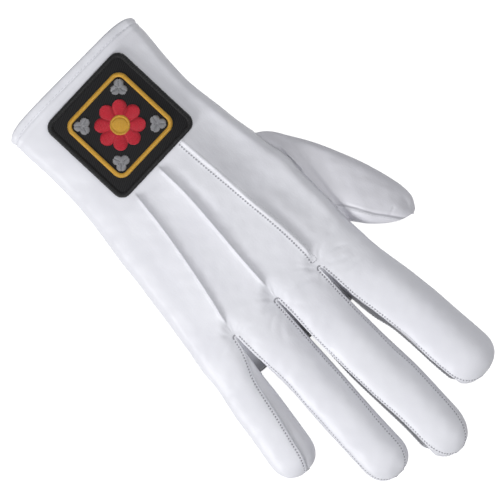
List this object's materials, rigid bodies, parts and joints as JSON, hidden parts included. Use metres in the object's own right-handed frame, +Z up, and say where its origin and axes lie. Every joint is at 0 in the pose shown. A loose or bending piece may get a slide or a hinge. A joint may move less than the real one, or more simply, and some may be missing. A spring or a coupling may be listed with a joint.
{
  "type": "white leather parade glove",
  "caption": "Right-hand white leather dress glove lying palm down, with raised points on the back, fourchettes and a square patch near the cuff.",
  "frame": {"origin": "under the middle of the glove's bounding box, on the surface that the palm rests on", "axes": "+Y from the cuff edge to the fingertips, -X towards the thumb, +Z up out of the back of the hand"},
  "size_m": [0.1376, 0.2558, 0.0245],
  "materials": {
    "white_leather": "smooth white glove leather with a soft satin sheen and fine grain",
    "black_twill": "matt black twill",
    "black_thread": "black overlocked thread with a soft sheen",
    "gold_thread": "gold embroidery thread",
    "red_thread": "red satin-stitch thread",
    "silver_thread": "silver-grey embroidery thread"
  },
  "bodies": {
    "root": {"back_panel": "white_leather", "palm_panel": "white_leather", "fourchette_index_middle": "white_leather", "fourchette_middle_ring": "white_leather", "fourchette_ring_little": "white_leather", "thumb": "white_leather", "patch": "black_twill", "patch_edging": "black_thread", "frame_cord": "gold_thread", "rosette": "red_thread", "rosette_boss": "gold_thread", "sprig_1": "silver_thread", "sprig_2": "silver_thread", "sprig_3": "silver_thread", "sprig_4": "silver_thread"}
  },
  "joints": []
}
